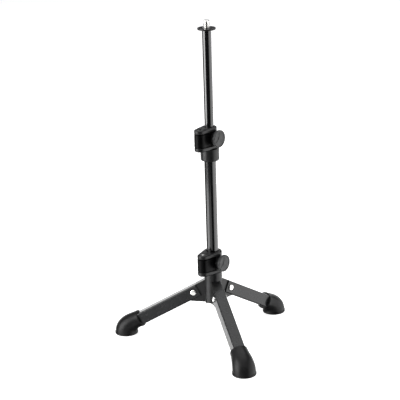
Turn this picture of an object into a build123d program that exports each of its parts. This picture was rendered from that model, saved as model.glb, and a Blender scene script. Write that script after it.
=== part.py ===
from build123d import *
from collections import namedtuple
import math
import os

# A small tabletop microphone stand: three folding legs, a pole of two telescoping tubes and two hinged
# clamps with hand knobs. Millimetres, +Z up. The origin is on the floor under the pole, and the front
# leg points along -Y.

# ---- driving dimensions -------------------------------------------------------------------------------
STUD_RADIUS = 9.525 / 2        # 3/8 inch microphone thread
UPPER_TUBE_RADIUS = 6.5
LOWER_TUBE_RADIUS = 8.5
FIT = 0.05                     # radial play of a running fit
PLAY = 0.3                     # play between moving faces that only pass each other

# legs, measured in the plane of one leg: distance from the pole's axis, and height
LEG_AZIMUTHS = {"front": 270, "right": 30, "left": 150}
LEG_SLOPE = 30                 # degrees below the horizontal
LEG_WIDTH = 16.6
LEG_DEPTH = 18.2
LEG_WALL = 1.5
LEG_CORNER = 2.0
LEG_INNER_CORNER = 1.0
LEG_INNER_END = 8.0            # from the pivot to the end beside the hub
LEG_OUTER_END = 112.0          # from the pivot to the end inside the foot
LEG_SLOT_END = 16.5            # from the pivot to the end of the slot in the leg's underside
PIVOT_DISTANCE = 28.0
PIVOT_HEIGHT = 72.0
RIVET_RADIUS = 2.5
RIVET_HEAD_RADIUS = 4.5
RIVET_HEAD = 1.7
RIVET_ROUND = 1.6
BUSH_RADIUS = 4.0

# feet
FOOT_DISTANCE = 133.0
FOOT_RADIUS = 17.0
FOOT_FLANGE = 3.0
FOOT_LEDGE = 0.6               # how far the flange stands out from the boot
FOOT_EDGE = 0.8
FOOT_MOUTH_RADIUS = 12.6
FOOT_MOUTH_EDGE = 1.0
FOOT_MOUTH = 94.5              # from the pivot, along the leg, to the mouth of the boot
GROOVE_RADII = (11.0, 9.0)     # of the round groove in the sole
GROOVE_DEPTH = 0.8

# hub
HUB_RADIUS = 13.0
HUB_BOTTOM = 58.4
HUB_TOP = 104.2
TONGUE_BOTTOM = HUB_BOTTOM
TONGUE_START = 9.0             # from the pole to where a tongue grows out of the hub
SPIGOT_RADIUS = 11.0
RING_HEIGHT = 1.8
RING_WALL = 1.4
LINER_RADIUS = 9.6
LINER_INSET = 3.5              # from each end of the hub to the liner in it

# clamps, in a frame of their own: +X towards the hinge pin, +Y towards the knob
HINGE_AZIMUTH = 215
HINGE_RADIUS = 8.3
HINGE_PIN_RADIUS = 2.0
HINGE_PIN_INSET = 0.4          # from the clamp's underside to the pin in it
HINGE_PIN_EDGE = 0.3
PLATE = 6.3                    # thickness of the top and bottom plates
PLATE_EDGE = 2.0
WALL_RECESS = 2.0              # how far the wall between the plates is set back
JAW_PRESS = 1.6                # from the tube's surface to the face that the pad presses
PAD_RADIUS = 4.0
PAD_THICKNESS = 1.0
PAD_TRAVEL = 0.9
PAD_FLOOR = 0.5                # what is left of the pad under the screw's nose
BRIDGE_WIDTH = 13.0
BOSS_RADIUS = 8.8
BOSS_EDGE = 1.2
INSERT_RADIUS = 4.4
SCREW_RADIUS = 3.0
NOSE_RADIUS = 2.0
KNOB_RADIUS = 12.2
KNOB_THICKNESS = 4.2
KNOB_EDGE = 0.8
KNOB_WEB = 1.5                 # what is left of the knob over the screw's end
KNOB_AIR = 0.5                 # between the boss and the knob
FLUTES = 30
FLUTE_RADIUS = 0.8
FLUTE_CENTRE = KNOB_RADIUS + 0.35
RIM_WIDTH = 1.9
CENTRE_RADIUS = 3.6
RELIEF = 0.6                   # depth of the three hollows in the knob's face
RIB_WIDTH = 2.2

CLAMP_HEIGHT = 31.3
NECK_LENGTH = 17.3
NECK_RADIUS = 13.3
NECK_EDGE = 2.0
UPPER_CLAMP_BASE = 287.3

# base: height of the clamp's underside; tube: radius of the tube it grips; plate: radius round that tube;
# hinge: distance to the hinge pin; pin_top: how far the pin stands out of the top; knob_face: distance to
# the front of the knob; neck: the sleeve below
Clamp = namedtuple(
    "Clamp", "name base tube plate hinge pin_top knob_face neck_radius neck_length neck_bore")
LOWER = Clamp("lower", HUB_TOP, LOWER_TUBE_RADIUS, 13.6, 22.0, 0.4, 21.7,
              SPIGOT_RADIUS, HUB_TOP - HUB_BOTTOM + RING_HEIGHT, LINER_RADIUS)
UPPER = Clamp("upper", UPPER_CLAMP_BASE, UPPER_TUBE_RADIUS, 10.8, 21.0, -1.5, 18.7,
              NECK_RADIUS, NECK_LENGTH, LOWER_TUBE_RADIUS)

# pole
LOWER_TUBE_BOTTOM = 80.0
LOWER_TUBE_TOP = 286.0
LOWER_TUBE_WALL = 1.2
UPPER_TUBE_BOTTOM = 235.0
UPPER_TUBE_WALL = 1.0
GUIDE_LENGTH = 8.0
GUIDE_FLANGE = 1.5
GUIDE_WALL = 1.0
PLUG_WALL = 1.5
DISC_RADIUS = 12.8
DISC_BOTTOM = 454.7
DISC_TOP = 457.2
DISC_EDGE = 0.7
DISC_RIM = 4.3                 # width of the flat under the disc's rim
DISC_CONE = 1.0                # height of the cone under the disc
DISC_LIP = 0.4                 # how far the foot of the cone stands out from the tube
UPPER_TUBE_TOP = DISC_BOTTOM - DISC_CONE
STUD_TOP = 467.5
STUD_CHAMFER = 0.7
SHANK_RADIUS = 3.0
INSERT_LENGTH = 15.0

# ---- worked out from the above ------------------------------------------------------------------------
SLOPE = math.radians(LEG_SLOPE)
ALONG = (math.cos(SLOPE), 0, -math.sin(SLOPE))       # down the leg, in the plane of a leg on +X
TONGUE_HALF = LEG_WIDTH / 2 - LEG_WALL - PLAY
RIVET_HALF = LEG_WIDTH / 2 + PLAY                    # from the middle of the leg to the rivet's head
PIVOT = (PIVOT_DISTANCE, 0, PIVOT_HEIGHT)
LEG_SECTION = Plane(origin=PIVOT, x_dir=(0, 1, 0), z_dir=ALONG)
LEG_SIDE = Plane(origin=PIVOT, x_dir=ALONG, z_dir=(0, -1, 0))
LOWER_BORE = LOWER_TUBE_RADIUS - LOWER_TUBE_WALL
UPPER_BORE = UPPER_TUBE_RADIUS - UPPER_TUBE_WALL

os.makedirs("parts", exist_ok=True)


def save(piece, name):
    """Name one piece and write its file."""
    piece.label = name
    export_step(piece, "parts/" + name + ".step")


def around(piece, azimuth):
    """The piece turned about the pole."""
    return Rot(0, 0, azimuth) * piece


def ring(bottom, top, outer, inner):
    """A plain ring or tube about the pole."""
    with BuildPart() as tube:
        with BuildSketch(Plane.XY.offset(bottom)):
            Circle(outer)
            Circle(inner, mode=Mode.SUBTRACT)
        extrude(amount=top - bottom)
    return tube.part


# ---- legs ---------------------------------------------------------------------------------------------
with BuildPart() as leg_tube:
    with BuildSketch(LEG_SECTION.offset(-LEG_INNER_END)):
        RectangleRounded(LEG_WIDTH, LEG_DEPTH, LEG_CORNER)
        RectangleRounded(LEG_WIDTH - 2 * LEG_WALL, LEG_DEPTH - 2 * LEG_WALL, LEG_INNER_CORNER,
                         mode=Mode.SUBTRACT)
    extrude(amount=LEG_INNER_END + LEG_OUTER_END)
    with BuildSketch(LEG_SECTION.offset(-LEG_INNER_END)):
        with Locations((0, -LEG_DEPTH / 2)):
            Rectangle(LEG_WIDTH - 2 * LEG_WALL, LEG_DEPTH)
    extrude(amount=LEG_INNER_END + LEG_SLOT_END, mode=Mode.SUBTRACT)
    with BuildSketch(LEG_SIDE):
        Circle(BUSH_RADIUS)
    extrude(amount=LEG_WIDTH, both=True, mode=Mode.SUBTRACT)

BUSH_LENGTH = LEG_WALL + PLAY
BUSH_START = TONGUE_HALF + PLAY / 2
with BuildPart() as pivot_bush:
    for bush_side in (BUSH_START, -BUSH_START - BUSH_LENGTH):
        with BuildSketch(LEG_SIDE.offset(bush_side)):
            Circle(BUSH_RADIUS)
            Circle(RIVET_RADIUS + FIT, mode=Mode.SUBTRACT)
        extrude(amount=BUSH_LENGTH)


# ---- rubber feet --------------------------------------------------------------------------------------
def mouth_point():
    """Where the plane of the boot's mouth meets the top of the flange, below the leg."""
    centre = [PIVOT[i] + FOOT_MOUTH * ALONG[i] for i in range(3)]
    drop = (centre[2] - FOOT_FLANGE) / math.cos(SLOPE)
    return centre[0] - drop * math.sin(SLOPE), FOOT_FLANGE, drop


FAN_X, FAN_Z, MOUTH_REACH = mouth_point()
FAN_STEPS = 4


def foot_section(step):
    """Plane and radius of one round section, fanned from the flat base to the tilted mouth."""
    share = math.cos(math.pi / 2 * step / FAN_STEPS) ** 2
    angle = math.radians((90 - LEG_SLOPE) * step / FAN_STEPS)
    base_reach = FOOT_DISTANCE - FAN_X
    reach = MOUTH_REACH + (base_reach - MOUTH_REACH) * share
    radius = FOOT_MOUTH_RADIUS + (FOOT_RADIUS - FOOT_LEDGE - FOOT_MOUTH_RADIUS) * share
    outward = (math.cos(angle), 0, math.sin(angle))
    origin = (FAN_X + reach * outward[0], 0, FAN_Z + reach * outward[2])
    return Plane(origin=origin, x_dir=outward, z_dir=(-math.sin(angle), 0, math.cos(angle))), radius


with BuildPart() as foot:
    for fan_step in range(FAN_STEPS + 1):
        section, section_radius = foot_section(fan_step)
        with BuildSketch(section):
            Circle(section_radius)
    loft()
    mouth_face = foot.faces().filter_by(GeomType.PLANE).sort_by(Axis.Z)[-1]
    fillet(mouth_face.edges(), radius=FOOT_MOUTH_EDGE)
    with BuildSketch(Plane.XY):
        with Locations((FOOT_DISTANCE, 0)):
            Circle(FOOT_RADIUS)
    extrude(amount=FOOT_FLANGE)
    fillet(foot.edges().sort_by(Axis.Z)[0], radius=FOOT_EDGE)
    with BuildSketch(Plane.XY):
        with Locations((FOOT_DISTANCE, 0)):
            Circle(GROOVE_RADII[0])
            Circle(GROOVE_RADII[1], mode=Mode.SUBTRACT)
    extrude(amount=GROOVE_DEPTH, mode=Mode.SUBTRACT)
    with BuildSketch(LEG_SECTION):
        RectangleRounded(LEG_WIDTH, LEG_DEPTH, LEG_CORNER)
    extrude(amount=LEG_OUTER_END, mode=Mode.SUBTRACT)

for leg_name, leg_azimuth in LEG_AZIMUTHS.items():
    save(around(leg_tube.part, leg_azimuth), "leg_" + leg_name)
    save(around(pivot_bush.part, leg_azimuth), "pivot_bush_" + leg_name)
    save(around(foot.part, leg_azimuth), "foot_" + leg_name)


# ---- hub ----------------------------------------------------------------------------------------------
def leg_plane(azimuth, offset):
    """Upright plane beside the leg at an azimuth: x runs outward, y up."""
    turn = math.radians(azimuth)
    side = Vector(math.sin(turn), -math.cos(turn), 0)
    return Plane(origin=side * offset, x_dir=(math.cos(turn), math.sin(turn), 0), z_dir=side)


def leg_point(along, across):
    """Distance from the pole and height of a point given along and across the leg from its pivot."""
    return (PIVOT_DISTANCE + along * math.cos(SLOPE) + across * math.sin(SLOPE),
            PIVOT_HEIGHT - along * math.sin(SLOPE) + across * math.cos(SLOPE))


# The tongue lies between the side walls of the leg. Its rounded tip clears the leg's top wall as the leg
# folds, and its shoulder stops that wall when the leg is open.
TONGUE_TOP = LEG_DEPTH / 2 - LEG_WALL - PLAY
SHOULDER = -LEG_INNER_END - 2 * FIT
TONGUE_CORNER = (PIVOT_HEIGHT - TONGUE_BOTTOM - LEG_DEPTH / 2 * math.cos(SLOPE)) / math.sin(SLOPE)
TONGUE_ROOT = (TONGUE_START - PIVOT_DISTANCE - LEG_DEPTH / 2 * math.sin(SLOPE)) / math.cos(SLOPE)

with BuildPart() as hub:
    with BuildSketch(Plane.XY.offset(HUB_BOTTOM)):
        Circle(HUB_RADIUS)
    extrude(amount=HUB_TOP - HUB_BOTTOM)
    for tongue_azimuth in LEG_AZIMUTHS.values():
        with BuildSketch(leg_plane(tongue_azimuth, 0)):
            with BuildLine():
                Line((TONGUE_START, TONGUE_BOTTOM), leg_point(TONGUE_CORNER, -LEG_DEPTH / 2))
                Line(leg_point(TONGUE_CORNER, -LEG_DEPTH / 2), leg_point(TONGUE_TOP, 0))
                ThreePointArc(leg_point(TONGUE_TOP, 0),
                              leg_point(TONGUE_TOP * math.sqrt(0.5), TONGUE_TOP * math.sqrt(0.5)),
                              leg_point(0, TONGUE_TOP))
                Polyline(leg_point(0, TONGUE_TOP), leg_point(SHOULDER, TONGUE_TOP),
                         leg_point(SHOULDER, LEG_DEPTH / 2), leg_point(TONGUE_ROOT, LEG_DEPTH / 2),
                         (TONGUE_START, TONGUE_BOTTOM))
            make_face()
        extrude(amount=TONGUE_HALF, both=True)
    for pin_azimuth in LEG_AZIMUTHS.values():
        with BuildSketch(leg_plane(pin_azimuth, 0)):
            with Locations((PIVOT_DISTANCE, PIVOT_HEIGHT)):
                Circle(RIVET_RADIUS)
        extrude(amount=LEG_WIDTH, both=True, mode=Mode.SUBTRACT)
    with BuildSketch(Plane.XY.offset(HUB_BOTTOM)):
        Circle(SPIGOT_RADIUS)
    extrude(amount=HUB_TOP - HUB_BOTTOM, mode=Mode.SUBTRACT)
save(hub.part, "hub")
save(ring(HUB_BOTTOM - RING_HEIGHT, HUB_BOTTOM, SPIGOT_RADIUS + RING_WALL, SPIGOT_RADIUS), "hub_ring")
save(ring(HUB_BOTTOM + LINER_INSET, HUB_TOP - LINER_INSET, LINER_RADIUS, LOWER_TUBE_RADIUS + FIT),
     "hub_liner")

with BuildPart() as rivet:
    with BuildSketch(leg_plane(0, 0)):
        with Locations((PIVOT_DISTANCE, PIVOT_HEIGHT)):
            Circle(RIVET_RADIUS)
    extrude(amount=RIVET_HALF, both=True)
    for head_offset in (RIVET_HALF, -RIVET_HALF - RIVET_HEAD):
        with BuildSketch(leg_plane(0, head_offset)):
            with Locations((PIVOT_DISTANCE, PIVOT_HEIGHT)):
                Circle(RIVET_HEAD_RADIUS)
        extrude(amount=RIVET_HEAD)
    fillet([rivet.edges().sort_by(Axis.Y)[0], rivet.edges().sort_by(Axis.Y)[-1]], radius=RIVET_ROUND)

turns = [Location((0, 0, 0), (0, 0, azimuth)) for azimuth in LEG_AZIMUTHS.values()]
with BuildPart() as pivot_rivets:
    with Locations(turns):
        add(rivet.part)
save(pivot_rivets.part, "pivot_rivets")

# ---- clamps -------------------------------------------------------------------------------------------
def place_clamp(piece, clamp):
    """Move a piece from the clamp's own frame to its place on the pole."""
    return Pos(0, 0, clamp.base) * Rot(0, 0, HINGE_AZIMUTH) * piece


def press_face(clamp):
    """Distance from the pole's axis to the face of the jaw that the pad presses."""
    return clamp.tube + JAW_PRESS


def bridge_face(clamp):
    """Distance from the pole's axis to the inner face of the bridge."""
    return press_face(clamp) + PAD_THICKNESS + 2 * FIT


def screw_plane(distance):
    """Plane across the screw, at a distance from the pole's axis, facing outward."""
    return Plane(origin=(0, distance, CLAMP_HEIGHT / 2), x_dir=(-1, 0, 0), z_dir=(0, 1, 0))


def egg(radius, hinge):
    """Outline round the tube and the hinge; drawn in the sketch that is open."""
    Circle(radius)
    with Locations((hinge, 0)):
        Circle(HINGE_RADIUS)
    make_hull()


def clamp_body(clamp):
    """Two plates joined by a wall behind the tube and a bridge before it, with a neck below."""
    wall_height = CLAMP_HEIGHT - 2 * PLATE
    bridge_inner = bridge_face(clamp)
    boss_face = clamp.knob_face - KNOB_THICKNESS - KNOB_AIR
    with BuildPart() as body:
        for bottom in (0, CLAMP_HEIGHT - PLATE):
            with BuildSketch(Plane.XY.offset(bottom)):
                egg(clamp.plate, clamp.hinge)
            extrude(amount=PLATE)
        fillet(body.edges().filter_by(lambda edge: edge.bounding_box().size.Z < 0.001), radius=PLATE_EDGE)
        with BuildSketch(Plane.XY.offset(PLATE)):
            egg(clamp.plate - WALL_RECESS / 2, clamp.hinge)
            with Locations((0, clamp.hinge - PLAY)):
                Rectangle(4 * clamp.hinge, 2 * clamp.hinge, mode=Mode.SUBTRACT)
            with Locations((clamp.hinge, 0)):
                Circle(HINGE_RADIUS + PLAY, mode=Mode.SUBTRACT)
            with Locations((clamp.hinge + HINGE_RADIUS, 0)):
                Rectangle(2 * HINGE_RADIUS, 4 * HINGE_RADIUS, mode=Mode.SUBTRACT)
        extrude(amount=wall_height)
        with BuildSketch(Plane.XY.offset(PLATE - PLATE_EDGE)):
            Circle(clamp.plate)
            with Locations((0, bridge_inner + clamp.plate / 2)):
                Rectangle(BRIDGE_WIDTH, clamp.plate, mode=Mode.INTERSECT)
        extrude(amount=wall_height + 2 * PLATE_EDGE)
        with BuildSketch(screw_plane(bridge_inner)):
            Circle(BOSS_RADIUS)
        extrude(amount=boss_face - bridge_inner)
        fillet(body.edges().sort_by(Axis.Y)[-1], radius=BOSS_EDGE)
        with BuildSketch(Plane.XY.offset(-clamp.neck_length)):
            Circle(clamp.neck_radius)
        extrude(amount=clamp.neck_length)
        if clamp is UPPER:
            fillet(body.edges().sort_by(Axis.Z)[0], radius=NECK_EDGE)
        with BuildSketch(Plane.XY.offset(-clamp.neck_length)):
            Circle(clamp.neck_bore)
        extrude(amount=clamp.neck_length, mode=Mode.SUBTRACT)
        with BuildSketch(Plane.XY):
            Circle(clamp.tube + PLAY)
            with Locations((clamp.hinge, 0)):
                Circle(HINGE_PIN_RADIUS)
        extrude(amount=CLAMP_HEIGHT, mode=Mode.SUBTRACT)
        with BuildSketch(screw_plane(0)):
            Circle(PAD_RADIUS + PLAY)
        extrude(amount=press_face(clamp) + PAD_THICKNESS + PAD_TRAVEL + PLAY, mode=Mode.SUBTRACT)
        with BuildSketch(screw_plane(0)):
            Circle(INSERT_RADIUS)
        extrude(amount=clamp.knob_face, mode=Mode.SUBTRACT)
    return body.part


def clamp_jaw(clamp):
    """The shoe that swings on the hinge pin and presses the tube."""
    bottom = PLATE + PLAY
    with BuildPart() as jaw:
        with BuildSketch(Plane.XY.offset(bottom)):
            egg(clamp.plate - WALL_RECESS, clamp.hinge)
            with Locations((0, -clamp.hinge + PLAY)):
                Rectangle(4 * clamp.hinge, 2 * clamp.hinge, mode=Mode.SUBTRACT)
            with Locations((clamp.hinge, 0)):
                Circle(HINGE_RADIUS)
            Circle(clamp.tube + PLAY, mode=Mode.SUBTRACT)
            with Locations((-clamp.plate / 2, press_face(clamp) + HINGE_RADIUS)):
                Rectangle(BRIDGE_WIDTH + 1 + clamp.plate, 2 * HINGE_RADIUS, mode=Mode.SUBTRACT)
            with Locations((clamp.hinge, 0)):
                Circle(HINGE_PIN_RADIUS + FIT, mode=Mode.SUBTRACT)
        extrude(amount=CLAMP_HEIGHT - 2 * bottom)
    return jaw.part


def hinge_pin(clamp):
    """Steel pin through the plates and the jaw."""
    with BuildPart() as pin:
        with BuildSketch(Plane.XY.offset(HINGE_PIN_INSET)):
            with Locations((clamp.hinge, 0)):
                Circle(HINGE_PIN_RADIUS)
        extrude(amount=CLAMP_HEIGHT + clamp.pin_top - HINGE_PIN_INSET)
        fillet(pin.edges().sort_by(Axis.Z)[-1], radius=HINGE_PIN_EDGE)
    return pin.part


def threaded_insert(clamp):
    """Brass thread for the screw, set in the boss."""
    inner = press_face(clamp) + PAD_THICKNESS + PAD_TRAVEL + PLAY
    with BuildPart() as insert:
        with BuildSketch(screw_plane(inner)):
            Circle(INSERT_RADIUS)
            Circle(SCREW_RADIUS + FIT, mode=Mode.SUBTRACT)
        extrude(amount=clamp.knob_face - KNOB_THICKNESS - KNOB_AIR - inner)
    return insert.part


def pressure_pad(clamp):
    """Disc on the screw's nose; it doesn't turn with the screw."""
    with BuildPart() as pad:
        with BuildSketch(screw_plane(press_face(clamp) + 2 * FIT)):
            Circle(PAD_RADIUS)
        extrude(amount=PAD_THICKNESS)
        with BuildSketch(screw_plane(press_face(clamp) + PAD_FLOOR)):
            Circle(NOSE_RADIUS + FIT)
        extrude(amount=PAD_THICKNESS, mode=Mode.SUBTRACT)
    return pad.part


def clamp_screw(clamp):
    """Steel screw; its thread is drawn as a plain shaft."""
    tip = press_face(clamp) + PAD_THICKNESS + 4 * FIT
    with BuildPart() as screw:
        with BuildSketch(screw_plane(tip)):
            Circle(SCREW_RADIUS)
        extrude(amount=clamp.knob_face - KNOB_WEB - tip)
        with BuildSketch(screw_plane(press_face(clamp) + PAD_FLOOR + 2 * FIT)):
            Circle(NOSE_RADIUS)
        extrude(amount=tip - press_face(clamp))
    return screw.part


def clamp_knob(clamp):
    """Round hand knob with a fluted rim, a raised edge and three low ribs on its face."""
    back = clamp.knob_face - KNOB_THICKNESS
    with BuildPart() as knob:
        with BuildSketch(screw_plane(back)):
            Circle(KNOB_RADIUS)
        extrude(amount=KNOB_THICKNESS)
        fillet(knob.edges().filter_by(GeomType.CIRCLE), radius=KNOB_EDGE)
        with BuildSketch(screw_plane(back)):
            with PolarLocations(FLUTE_CENTRE, FLUTES):
                Circle(FLUTE_RADIUS)
        extrude(amount=KNOB_THICKNESS, mode=Mode.SUBTRACT)
        with BuildSketch(screw_plane(clamp.knob_face - RELIEF)):
            Circle(KNOB_RADIUS - RIM_WIDTH)
            Circle(CENTRE_RADIUS, mode=Mode.SUBTRACT)
            with PolarLocations(KNOB_RADIUS / 2, 3, start_angle=90):
                Rectangle(KNOB_RADIUS, RIB_WIDTH, mode=Mode.SUBTRACT)
        extrude(amount=RELIEF, mode=Mode.SUBTRACT)
        with BuildSketch(screw_plane(back)):
            Circle(SCREW_RADIUS)
        extrude(amount=KNOB_THICKNESS - KNOB_WEB, mode=Mode.SUBTRACT)
    return knob.part


for one in (LOWER, UPPER):
    save(place_clamp(clamp_body(one), one), one.name + "_clamp_body")
    save(place_clamp(clamp_jaw(one), one), one.name + "_jaw")
    save(place_clamp(hinge_pin(one), one), one.name + "_hinge_pin")
    save(place_clamp(threaded_insert(one), one), one.name + "_insert")
    save(place_clamp(pressure_pad(one), one), one.name + "_pad")
    save(place_clamp(clamp_screw(one), one), one.name + "_screw")
    save(place_clamp(clamp_knob(one), one), one.name + "_knob")

# ---- pole ---------------------------------------------------------------------------------------------
save(ring(LOWER_TUBE_BOTTOM, LOWER_TUBE_TOP, LOWER_TUBE_RADIUS, LOWER_BORE), "lower_tube")
save(ring(UPPER_TUBE_BOTTOM, UPPER_TUBE_TOP, UPPER_TUBE_RADIUS, UPPER_BORE), "upper_tube")

with BuildPart() as lower_tube_plug:
    with BuildSketch(Plane.XY.offset(LOWER_TUBE_BOTTOM - GUIDE_FLANGE)):
        Circle(LOWER_TUBE_RADIUS)
    extrude(amount=GUIDE_FLANGE)
    with BuildSketch(Plane.XY.offset(LOWER_TUBE_BOTTOM)):
        Circle(LOWER_BORE)
    extrude(amount=GUIDE_LENGTH)
    with BuildSketch(Plane.XY.offset(LOWER_TUBE_BOTTOM)):
        Circle(LOWER_BORE - PLUG_WALL)
    extrude(amount=GUIDE_LENGTH, mode=Mode.SUBTRACT)
save(lower_tube_plug.part, "lower_tube_plug")

with BuildPart() as pole_liner:
    with BuildSketch(Plane.XY.offset(LOWER_TUBE_TOP - 3 * GUIDE_LENGTH)):
        Circle(LOWER_BORE)
    extrude(amount=3 * GUIDE_LENGTH)
    with BuildSketch(Plane.XY.offset(LOWER_TUBE_TOP)):
        Circle(LOWER_TUBE_RADIUS)
    extrude(amount=UPPER.base - LOWER_TUBE_TOP)
    with BuildSketch(Plane.XY.offset(LOWER_TUBE_TOP - 3 * GUIDE_LENGTH)):
        Circle(UPPER_TUBE_RADIUS + FIT)
    extrude(amount=4 * GUIDE_LENGTH, mode=Mode.SUBTRACT)
save(pole_liner.part, "pole_liner")

with BuildPart() as upper_tube_guide:
    with BuildSketch(Plane.XY.offset(UPPER_TUBE_BOTTOM - GUIDE_FLANGE)):
        Circle(LOWER_BORE - FIT)
        Circle(UPPER_BORE - GUIDE_WALL, mode=Mode.SUBTRACT)
    extrude(amount=GUIDE_LENGTH + GUIDE_FLANGE)
    with BuildSketch(Plane.XY.offset(UPPER_TUBE_BOTTOM)):
        Circle(UPPER_TUBE_RADIUS)
    extrude(amount=GUIDE_LENGTH, mode=Mode.SUBTRACT)
save(upper_tube_guide.part, "upper_tube_guide")

# ---- top disc and stud --------------------------------------------------------------------------------
with BuildPart() as top_disc:
    with BuildSketch(Plane.XZ):
        with BuildLine():
            Polyline((0, UPPER_TUBE_TOP), (UPPER_TUBE_RADIUS + DISC_LIP, UPPER_TUBE_TOP),
                     (DISC_RADIUS - DISC_RIM, DISC_BOTTOM), (DISC_RADIUS, DISC_BOTTOM),
                     (DISC_RADIUS, DISC_TOP), (0, DISC_TOP), (0, UPPER_TUBE_TOP))
        make_face()
    revolve(axis=Axis.Z)
    disc_rims = top_disc.edges().filter_by(lambda edge: edge.bounding_box().size.X > 2 * DISC_RADIUS - FIT)
    fillet(disc_rims, radius=DISC_EDGE)
    with BuildSketch(Plane.XY.offset(UPPER_TUBE_TOP)):
        Circle(SHANK_RADIUS)
    extrude(amount=DISC_TOP - UPPER_TUBE_TOP, mode=Mode.SUBTRACT)
save(top_disc.part, "top_disc")

save(ring(UPPER_TUBE_TOP - INSERT_LENGTH, UPPER_TUBE_TOP, UPPER_BORE, SHANK_RADIUS), "stud_insert")

with BuildPart() as stud:
    with BuildSketch(Plane.XY.offset(UPPER_TUBE_TOP - INSERT_LENGTH)):
        Circle(SHANK_RADIUS)
    extrude(amount=DISC_TOP - UPPER_TUBE_TOP + INSERT_LENGTH)
    with BuildSketch(Plane.XY.offset(DISC_TOP)):
        Circle(STUD_RADIUS)
    extrude(amount=STUD_TOP - DISC_TOP)
    chamfer(stud.edges().sort_by(Axis.Z)[-1], length=STUD_CHAMFER)
save(stud.part, "stud")
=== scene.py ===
import math

import bmesh
import bpy
from mathutils import Matrix, Vector


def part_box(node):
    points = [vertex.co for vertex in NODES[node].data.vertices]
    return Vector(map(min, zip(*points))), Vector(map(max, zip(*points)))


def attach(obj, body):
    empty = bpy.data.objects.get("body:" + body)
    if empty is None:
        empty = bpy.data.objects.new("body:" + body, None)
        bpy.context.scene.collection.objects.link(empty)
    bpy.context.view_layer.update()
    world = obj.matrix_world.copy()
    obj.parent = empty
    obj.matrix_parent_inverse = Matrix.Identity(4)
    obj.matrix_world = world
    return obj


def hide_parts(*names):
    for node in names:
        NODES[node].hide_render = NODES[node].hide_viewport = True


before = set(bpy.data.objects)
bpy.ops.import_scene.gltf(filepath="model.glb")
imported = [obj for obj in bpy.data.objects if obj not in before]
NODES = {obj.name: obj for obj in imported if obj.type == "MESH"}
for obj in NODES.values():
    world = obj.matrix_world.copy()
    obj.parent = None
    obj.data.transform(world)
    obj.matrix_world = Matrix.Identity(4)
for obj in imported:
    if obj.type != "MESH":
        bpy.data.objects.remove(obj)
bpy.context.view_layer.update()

# A small tabletop microphone stand in a white studio. Everything is in metres, in the frame's own axes:
# +Z up, the front leg along -Y, the origin on the floor under the pole.

MM = 0.001

# ---- material building --------------------------------------------------------------------------------
NOISE_LOW = 0.3                # noise values below this count as the lowest
NOISE_HIGH = 0.7               # and above this as the highest
IOR = 1.5                      # of paint and nylon


class Recipe:
    """One procedural material: a shader fed by noises that are fixed to the object."""

    def __init__(self, name, metallic=0.0):
        self.material = bpy.data.materials.new(name)
        self.material.use_nodes = True
        self.tree = self.material.node_tree
        self.tree.nodes.clear()
        output = self.tree.nodes.new("ShaderNodeOutputMaterial")
        self.shader = self.tree.nodes.new("ShaderNodeBsdfPrincipled")
        self.shader.inputs["Metallic"].default_value = metallic
        self.tree.links.new(self.shader.outputs["BSDF"], output.inputs["Surface"])
        self.place = self.tree.nodes.new("ShaderNodeTexCoord").outputs["Object"]
        self.normal = None

    def stretched(self, scale):
        """The object's coordinates, scaled along each axis."""
        mapping = self.tree.nodes.new("ShaderNodeMapping")
        mapping.inputs["Scale"].default_value = scale
        self.tree.links.new(self.place, mapping.inputs["Vector"])
        return mapping.outputs["Vector"]

    def noise(self, size, detail=3.0, stretch=None):
        """Noise whose grains are about size metres across; more detail adds finer grains."""
        node = self.tree.nodes.new("ShaderNodeTexNoise")
        node.inputs["Scale"].default_value = 1 / size
        node.inputs["Detail"].default_value = detail
        source = self.stretched(stretch) if stretch else self.place
        self.tree.links.new(source, node.inputs["Vector"])
        return node.outputs["Fac"]

    def colour(self, value, dark, light):
        """Base colour that runs from dark to light with the value."""
        node = self.tree.nodes.new("ShaderNodeValToRGB")
        first, last = node.color_ramp.elements
        first.position = NOISE_LOW
        last.position = NOISE_HIGH
        first.color = (*dark, 1)
        last.color = (*light, 1)
        self.tree.links.new(value, node.inputs["Fac"])
        self.tree.links.new(node.outputs["Color"], self.shader.inputs["Base Color"])

    def rough(self, value, least, most):
        """Roughness that runs from least to most with the value."""
        node = self.tree.nodes.new("ShaderNodeMapRange")
        node.inputs["From Min"].default_value = NOISE_LOW
        node.inputs["From Max"].default_value = NOISE_HIGH
        node.inputs["To Min"].default_value = least
        node.inputs["To Max"].default_value = most
        self.tree.links.new(value, node.inputs["Value"])
        self.tree.links.new(node.outputs["Result"], self.shader.inputs["Roughness"])

    def bump(self, value, depth):
        """Relief depth metres deep, added over any relief already there."""
        node = self.tree.nodes.new("ShaderNodeBump")
        node.inputs["Strength"].default_value = 1.0
        node.inputs["Distance"].default_value = depth
        self.tree.links.new(value, node.inputs["Height"])
        if self.normal:
            self.tree.links.new(self.normal, node.inputs["Normal"])
        self.normal = node.outputs["Normal"]
        self.tree.links.new(self.normal, self.shader.inputs["Normal"])

    def constant(self, **values):
        """Settings that are the same all over, put on the shader's own sockets."""
        for name, value in values.items():
            self.shader.inputs[name.replace("_", " ")].default_value = value


# ---- materials ----------------------------------------------------------------------------------------
def black_enamel():
    """Gloss enamel on steel tube: faint orange peel, and fine rubbing marks along the tube."""
    recipe = Recipe("black_enamel")
    recipe.colour(recipe.noise(30 * MM), dark=(0.0015, 0.0016, 0.0018), light=(0.0030, 0.0032, 0.0036))
    rubbing = recipe.noise(1.2 * MM, detail=4.0, stretch=(1, 1, 0.04))
    recipe.rough(rubbing, least=0.12, most=0.19)
    recipe.bump(recipe.noise(4 * MM, detail=1.0), depth=0.0008 * MM)
    recipe.constant(IOR=IOR, Coat_Weight=0.3, Coat_Roughness=0.05)
    return recipe.material


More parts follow.
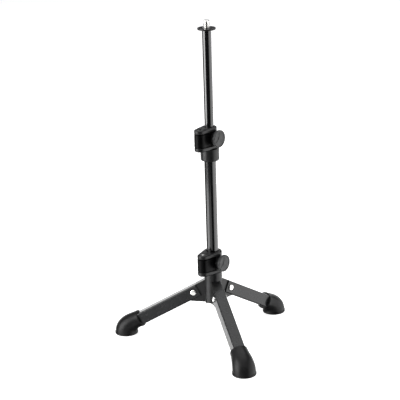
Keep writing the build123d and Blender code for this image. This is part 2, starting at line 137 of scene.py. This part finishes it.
def leg_enamel():
    """Satin enamel on the legs, with the soft grain of a baked powder coat."""
    recipe = Recipe("leg_enamel")
    recipe.colour(recipe.noise(18 * MM), dark=(0.0090, 0.0096, 0.0104), light=(0.0150, 0.0158, 0.0168))
    recipe.rough(recipe.noise(6 * MM, detail=4.0), least=0.22, most=0.30)
    recipe.bump(recipe.noise(0.9 * MM, detail=2.0), depth=0.015 * MM)
    recipe.constant(IOR=IOR, Specular_IOR_Level=0.25)
    return recipe.material


def moulded_plastic():
    """Black nylon: cloudy colour, slow waves from the mould, and spark-eroded grain over them."""
    recipe = Recipe("moulded_plastic")
    clouds = recipe.noise(9 * MM, detail=5.0)
    recipe.colour(clouds, dark=(0.0030, 0.0031, 0.0033), light=(0.0080, 0.0082, 0.0086))
    recipe.rough(recipe.noise(4 * MM, detail=4.0), least=0.28, most=0.42)
    recipe.bump(recipe.noise(3.2 * MM, detail=2.0), depth=0.04 * MM)
    recipe.bump(recipe.noise(0.45 * MM, detail=3.0), depth=0.02 * MM)
    recipe.constant(IOR=IOR, Specular_IOR_Level=0.26)
    return recipe.material


def jaw_plastic_painted_shade():
    """The clamp shoes: nylon like the bodies but with less shine, coloured darker as painted shade of their
    recess between the plates.
    """
    recipe = Recipe("jaw_plastic_painted_shade")
    clouds = recipe.noise(6 * MM, detail=4.0)
    # Painted shade: a colour darker than the bodies' nylon, standing in for the shade inside the recess
    # between the plates.
    recipe.colour(clouds, dark=(0.0006, 0.0006, 0.0007), light=(0.0014, 0.0014, 0.0015))
    recipe.rough(recipe.noise(3 * MM, detail=3.0), least=0.28, most=0.40)
    recipe.bump(recipe.noise(0.6 * MM, detail=2.0), depth=0.012 * MM)
    recipe.constant(IOR=IOR, Specular_IOR_Level=0.06)
    return recipe.material


def knob_plastic():
    """Softer black moulding on the hand knobs, greyed in patches."""
    recipe = Recipe("knob_plastic")
    patches = recipe.noise(5 * MM, detail=4.0)
    recipe.colour(patches, dark=(0.020, 0.0205, 0.021), light=(0.045, 0.046, 0.047))
    recipe.rough(recipe.noise(2.5 * MM, detail=3.0), least=0.42, most=0.60)
    recipe.bump(recipe.noise(0.5 * MM, detail=3.0), depth=0.04 * MM)
    recipe.constant(IOR=IOR, Specular_IOR_Level=0.3)
    return recipe.material


def liner_plastic():
    """Dark grey acetal of the bearing liners, with rubbing marks along the pole."""
    recipe = Recipe("liner_plastic")
    recipe.colour(recipe.noise(6 * MM), dark=(0.030, 0.030, 0.032), light=(0.045, 0.045, 0.047))
    recipe.rough(recipe.noise(1.5 * MM, stretch=(1, 1, 0.1)), least=0.25, most=0.38)
    recipe.bump(recipe.noise(1.0 * MM), depth=0.01 * MM)
    return recipe.material


def foot_rubber():
    """Black rubber, unevenly dulled and finely grained."""
    recipe = Recipe("foot_rubber")
    dulling = recipe.noise(7 * MM, detail=5.0)
    recipe.colour(dulling, dark=(0.0030, 0.0030, 0.0032), light=(0.0080, 0.0080, 0.0082))
    recipe.rough(recipe.noise(3 * MM, detail=4.0), least=0.34, most=0.48)
    recipe.bump(recipe.noise(0.6 * MM, detail=3.0), depth=0.05 * MM)
    recipe.constant(Specular_IOR_Level=0.15)
    return recipe.material


def bright_steel():
    """Nickel-plated steel with fine turning marks and slightly dull patches."""
    recipe = Recipe("bright_steel", metallic=1.0)
    patches = recipe.noise(2.5 * MM, detail=4.0)
    recipe.colour(patches, dark=(0.66, 0.655, 0.635), light=(0.82, 0.815, 0.80))
    recipe.rough(recipe.noise(1.0 * MM, detail=5.0), least=0.12, most=0.26)
    turning = recipe.noise(0.25 * MM, detail=2.0, stretch=(0.3, 0.3, 3))
    recipe.bump(turning, depth=0.006 * MM)
    return recipe.material


def brass_insert():
    """Turned brass of the threaded inserts."""
    recipe = Recipe("brass_insert", metallic=1.0)
    recipe.colour(recipe.noise(2 * MM, detail=4.0), dark=(0.56, 0.39, 0.15), light=(0.72, 0.53, 0.24))
    recipe.rough(recipe.noise(0.8 * MM, detail=4.0), least=0.20, most=0.36)
    recipe.bump(recipe.noise(0.3 * MM), depth=0.008 * MM)
    return recipe.material


MATERIALS = {make.__name__: make() for make in (
    black_enamel, leg_enamel, moulded_plastic, jaw_plastic_painted_shade, knob_plastic, liner_plastic, foot_rubber,
    bright_steel, brass_insert)}


def finish_for(name):
    """Name of the finish for a CAD node: its slot in the record, except that the jaws get their own,
    darkened as painted shade.
    """
    if name.endswith("_jaw"):
        return "jaw_plastic_painted_shade"
    return NODES[name].material_slots[0].material.name.split(".")[0]


for node_name, node in NODES.items():
    finish = MATERIALS[finish_for(node_name)]
    for material_slot in node.material_slots:
        material_slot.material = finish

# ---- threaded stud ------------------------------------------------------------------------------------
THREAD_PITCH = 25.4 * MM / 16  # 3/8-16 microphone thread
THREAD_DEPTH = 0.6134 * THREAD_PITCH
THREAD_CREST = 0.125           # share of the pitch that is flat at the crest
THREAD_ROOT = 0.25             # share of the pitch that is flat at the root
ROWS_PER_PITCH = 16
TURN_STEPS = 64
STUD_CHAMFER = 1.0 * MM
SHANK_RADIUS = 3.0 * MM


def thread_fall(share):
    """How far the flank has fallen, 0 at the crest to 1 at the root, at a share of one pitch."""
    from_crest = 2 * abs(share - 0.5)
    fall = (from_crest - THREAD_CREST) / (1 - THREAD_CREST - THREAD_ROOT)
    return min(max(fall, 0), 1)


def thread_radius(outside, height, top, turn):
    """Radius of a right-hand thread at a height and a share of a turn, under the chamfer at its top."""
    share = (height / THREAD_PITCH - turn) % 1
    threaded = outside - THREAD_DEPTH * thread_fall(share)
    chamfered = outside - max(height - (top - STUD_CHAMFER), 0)
    return min(threaded, chamfered)


def stud_rows(bottom, shoulder, top, outside):
    """Rings of the stud from the end of its shank to its tip: a height, and a radius for each step."""
    shank = [SHANK_RADIUS] * TURN_STEPS
    rows = [(bottom, shank), (shoulder, shank)]
    count = round((top - shoulder) / THREAD_PITCH * ROWS_PER_PITCH)
    for row in range(count + 1):
        height = shoulder + (top - shoulder) * row / count
        radii = [thread_radius(outside, height, top, step / TURN_STEPS) for step in range(TURN_STEPS)]
        rows.append((height, radii))
    return rows


def ring_point(step, radius, height):
    """A point of a ring about the pole's axis."""
    angle = math.tau * step / TURN_STEPS
    return radius * math.cos(angle), radius * math.sin(angle), height


def finished_mesh(name, form):
    """A mesh from a bmesh, which is freed."""
    mesh = bpy.data.meshes.new(name)
    form.to_mesh(mesh)
    form.free()
    return mesh


def lofted(name, rows):
    """Closed mesh through rings of equal step counts."""
    form = bmesh.new()
    rings = []
    for height, radii in rows:
        rings.append([form.verts.new(ring_point(step, radius, height)) for step, radius in enumerate(radii)])
    for lower, upper in zip(rings, rings[1:]):
        for step in range(TURN_STEPS):
            after = (step + 1) % TURN_STEPS
            form.faces.new((lower[step], lower[after], upper[after], upper[step]))
    form.faces.new(reversed(rings[0]))
    form.faces.new(rings[-1])
    return finished_mesh(name, form)


def threaded_stud():
    """The stud with its real thread, in place of the plain one."""
    low, high = (Vector(corner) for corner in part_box("stud"))
    disc_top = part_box("top_disc")[1][2]
    mesh = lofted("stud_thread", stud_rows(low.z, disc_top, high.z, high.x))
    piece = bpy.data.objects.new("stud_thread", mesh)
    piece.data.materials.append(MATERIALS["bright_steel"])
    bpy.context.scene.collection.objects.link(piece)
    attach(piece, "upper_pole")
    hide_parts("stud")


threaded_stud()

# ---- studio -------------------------------------------------------------------------------------------
STUDIO_RADIUS = 4.0
STUDIO_HEIGHT = 3.0
STUDIO_STEPS = 96
FLOOR_GLOW = 0.85
FLOOR_WHITE = 0.8
WALL_GLOW = 1.1
SKY_COLOUR = (0.9, 0.95, 1)
SKY_STRENGTH = 0.05


def emitter(name, strength):
    """White material that glows evenly."""
    material = bpy.data.materials.new(name)
    material.use_nodes = True
    tree = material.node_tree
    tree.nodes.clear()
    glow = tree.nodes.new("ShaderNodeEmission")
    glow.inputs["Strength"].default_value = strength
    glow.inputs["Color"].default_value = (1, 1, 1, 1)
    output = tree.nodes.new("ShaderNodeOutputMaterial")
    tree.links.new(glow.outputs["Emission"], output.inputs["Surface"])
    return material


def floor_material():
    """White table: mostly its own glow, so that only a faint shadow shows at the feet."""
    material = emitter("white_table", FLOOR_GLOW)
    tree = material.node_tree
    glow = tree.nodes["Emission"]
    output = tree.nodes["Material Output"]
    matt = tree.nodes.new("ShaderNodeBsdfDiffuse")
    matt.inputs["Color"].default_value = (FLOOR_WHITE, FLOOR_WHITE, FLOOR_WHITE, 1)
    both = tree.nodes.new("ShaderNodeAddShader")
    tree.links.new(glow.outputs["Emission"], both.inputs[0])
    tree.links.new(matt.outputs["BSDF"], both.inputs[1])
    tree.links.new(both.outputs["Shader"], output.inputs["Surface"])
    return material


def stage_mesh(name, form, material):
    """A piece of the studio, which isn't part of the object, casts no shadow and isn't reflected."""
    piece = bpy.data.objects.new(name, finished_mesh(name, form))
    piece.data.materials.append(material)
    bpy.context.scene.collection.objects.link(piece)
    piece.visible_glossy = False
    piece.visible_shadow = False
    return piece


def studio_floor():
    """A round table top under the stand."""
    form = bmesh.new()
    bmesh.ops.create_circle(form, cap_ends=True, radius=STUDIO_RADIUS, segments=STUDIO_STEPS)
    stage_mesh("studio_floor", form, floor_material())


def studio_wall():
    """A round wall, open at the top and lighting nothing, so that the background is white all round."""
    form = bmesh.new()
    bmesh.ops.create_cone(form, cap_ends=False, radius1=STUDIO_RADIUS, radius2=STUDIO_RADIUS,
                          depth=2 * STUDIO_HEIGHT, segments=STUDIO_STEPS)
    piece = stage_mesh("studio_wall", form, emitter("white_wall", WALL_GLOW))
    piece.visible_diffuse = False


def add_world():
    """A faint, slightly blue light from everywhere."""
    world = bpy.data.worlds.new("studio")
    world.use_nodes = True
    background = world.node_tree.nodes["Background"]
    background.inputs["Color"].default_value = (*SKY_COLOUR, 1)
    background.inputs["Strength"].default_value = SKY_STRENGTH
    bpy.context.scene.world = world


studio_floor()
studio_wall()
add_world()

# ---- camera -------------------------------------------------------------------------------------------
FRONT_AZIMUTH = 270            # of the front leg, in degrees from +X
VIEW_AZIMUTH = -17.07          # of the camera about the pole, from straight in front of the front leg
CAMERA_DISTANCE = 1.94743
CAMERA_HEIGHT = 0.83941
CAMERA_PAN = -0.461
CAMERA_TILT = 17.876
CAMERA_ROLL = -1.6955
CAMERA_LENS = 130.48           # mm, for a sensor SENSOR_WIDTH mm wide
SENSOR_WIDTH = 36
CAMERA_REACH = 20


def turned(degrees, axis):
    """Rotation about one axis."""
    return Matrix.Rotation(math.radians(degrees), 4, axis)


def add_camera():
    """The camera, swung round the pole, and then panned, tilted and rolled."""
    data = bpy.data.cameras.new("camera")
    data.lens = CAMERA_LENS
    data.sensor_width = SENSOR_WIDTH
    data.clip_end = CAMERA_REACH
    camera = bpy.data.objects.new("camera", data)
    camera.matrix_world = (turned(VIEW_AZIMUTH, "Z")
                           @ Matrix.Translation((0, -CAMERA_DISTANCE, CAMERA_HEIGHT))
                           @ turned(-CAMERA_PAN, "Z")
                           @ turned(90 - CAMERA_TILT, "X")
                           @ turned(CAMERA_ROLL, "Z"))
    bpy.context.scene.collection.objects.link(camera)
    bpy.context.scene.camera = camera


add_camera()

# ---- lights -------------------------------------------------------------------------------------------
LIT_POINT = Vector((0, 0, 0.22))   # on the pole, about halfway up; every light faces it


def direction(azimuth, elevation):
    """Unit vector towards an azimuth, in degrees from +X, and an elevation."""
    turn = math.radians(azimuth)
    lift = math.radians(elevation)
    return Vector((math.cos(turn) * math.cos(lift), math.sin(turn) * math.cos(lift), math.sin(lift)))


def softbox(name, round_from_camera, elevation, distance, width, height, radiance, only_reflected=False):
    """Rectangular light that faces the stand; radiance is its brightness as seen in a reflection."""
    light = bpy.data.lights.new(name, "AREA")
    light.shape = "RECTANGLE"
    light.size = width
    light.size_y = height
    light.energy = radiance * math.pi * width * height
    azimuth = FRONT_AZIMUTH + VIEW_AZIMUTH + round_from_camera
    holder = bpy.data.objects.new(name, light)
    holder.location = LIT_POINT + distance * direction(azimuth, elevation)
    holder.rotation_euler = (holder.location - LIT_POINT).to_track_quat("Z", "Y").to_euler()
    holder.visible_camera = False
    holder.visible_diffuse = not only_reflected
    bpy.context.scene.collection.objects.link(holder)


# Only the overhead light and the front fill light the stand. The others are seen in its glossy faces: two
# on the left of the tubes, one on the right, one low in front, and one behind for the faces seen edge on.
softbox("left_strip", round_from_camera=-70, elevation=11, distance=1.5, width=1.15, height=1.35,
        radiance=9.5, only_reflected=True)
softbox("left_low", round_from_camera=-70, elevation=-31, distance=1.5, width=1.25, height=0.75,
        radiance=4.2, only_reflected=True)
softbox("right_panel", round_from_camera=84, elevation=-8, distance=1.5, width=2.3, height=2.4,
        radiance=2.9, only_reflected=True)
softbox("near_card", round_from_camera=-22, elevation=-38, distance=1.2, width=0.9, height=0.9,
        radiance=1.2, only_reflected=True)
softbox("overhead", round_from_camera=-170, elevation=76, distance=1.6, width=2.2, height=2.2,
        radiance=3.0)
softbox("front_fill", round_from_camera=-5, elevation=48, distance=2.0, width=2.4, height=1.2,
        radiance=1.4)
softbox("back_panel", round_from_camera=180, elevation=-16, distance=2.0, width=3.6, height=1.9,
        radiance=2.4, only_reflected=True)
bpy.context.scene.view_settings.view_transform = "Standard"
